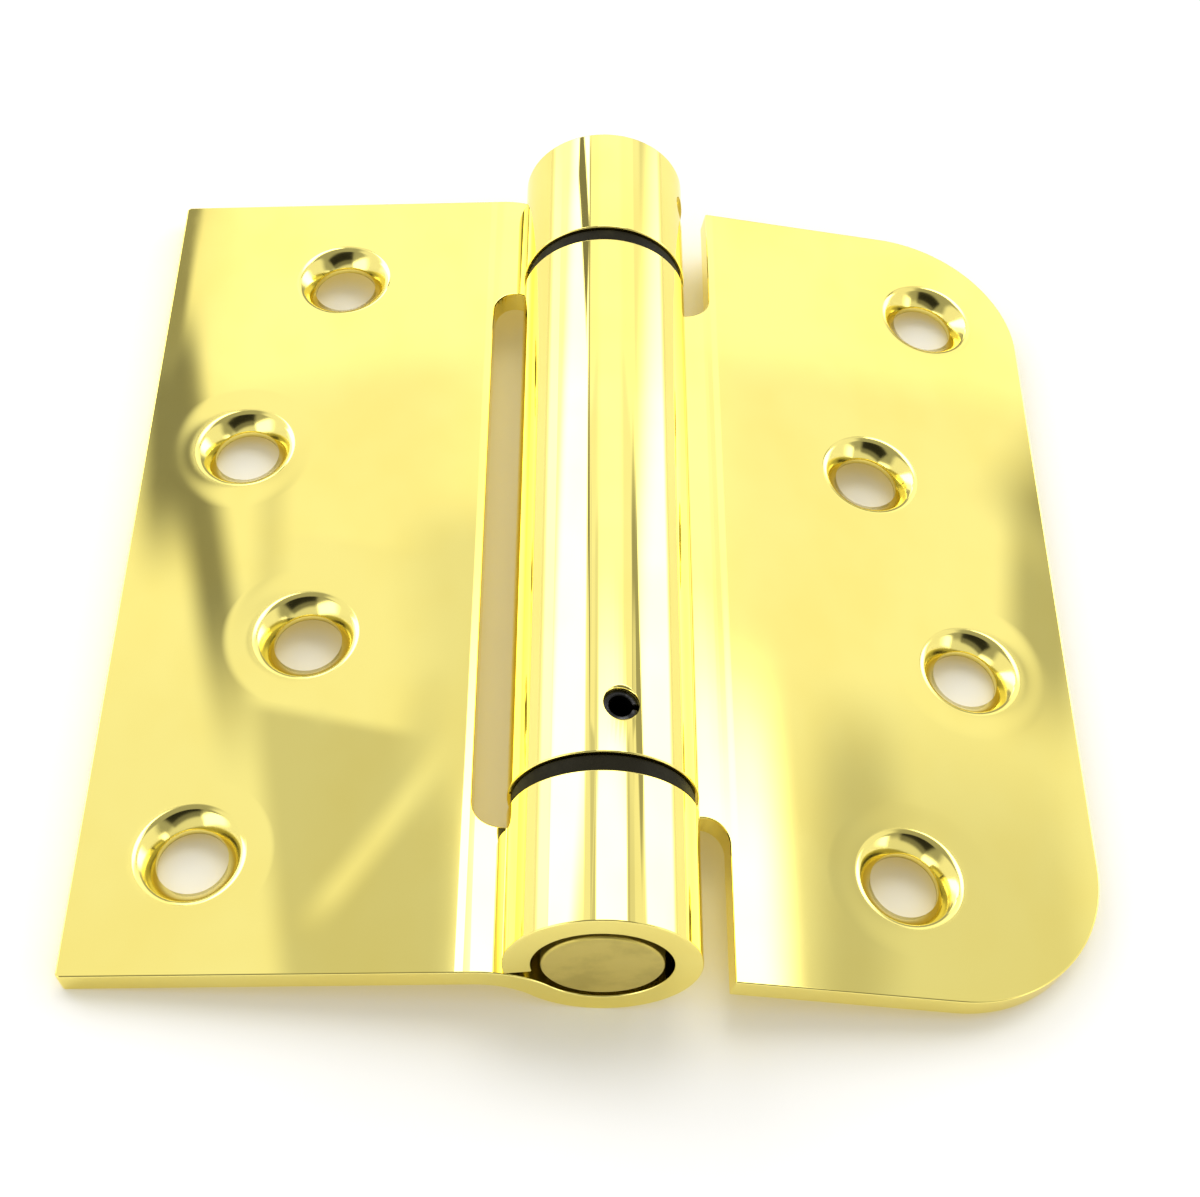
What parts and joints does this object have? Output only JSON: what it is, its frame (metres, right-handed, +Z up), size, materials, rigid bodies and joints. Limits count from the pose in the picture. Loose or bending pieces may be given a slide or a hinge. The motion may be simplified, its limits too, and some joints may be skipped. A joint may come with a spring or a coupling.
{
  "type": "spring hinge",
  "caption": "Full-mortise spring hinge with a square-cornered and a round-cornered leaf, and an adjustable torsion spring in its barrel.",
  "frame": {"origin": "on the barrel's axis, halfway along the barrel, which is the centre of the bounding box", "axes": "+Y along the barrel from the pinned bottom end to the adjusting top end, +X towards the round-cornered leaf, +Z up, out of the face with the countersinks, with the hinge lying open on its back"},
  "size_m": [0.1006, 0.1016, 0.0186],
  "materials": {
    "bright_brass": "polished",
    "dull_brass": "satin",
    "black_nylon": "satin",
    "black_steel": "black oxide",
    "spring_steel": "oiled"
  },
  "bodies": {
    "square_side": {"square_leaf": "bright_brass", "lower_bearing": "black_nylon", "upper_bearing": "black_nylon"},
    "round_side": {"round_leaf": "bright_brass", "anchor_plug": "dull_brass", "anchor_pin": "black_steel", "torsion_spring": "spring_steel"},
    "adjuster": {"adjusting_plug": "dull_brass"}
  },
  "joints": [
    {"name": "leaf_swing", "type": "hinge", "parent": "square_side", "child": "round_side", "pos_m": [0, 0, 0], "axis": [0, -1, 0], "range_deg": [-77.28, 192.72]},
    {"name": "adjuster_turn", "type": "hinge", "parent": "round_side", "child": "adjuster", "pos_m": [0, 0.0369, 0], "axis": [0, -1, 0], "range_deg": [0, 270], "stiffness_Nm_per_rad": 1.29, "deforming": ["torsion_spring"]}
  ]
}
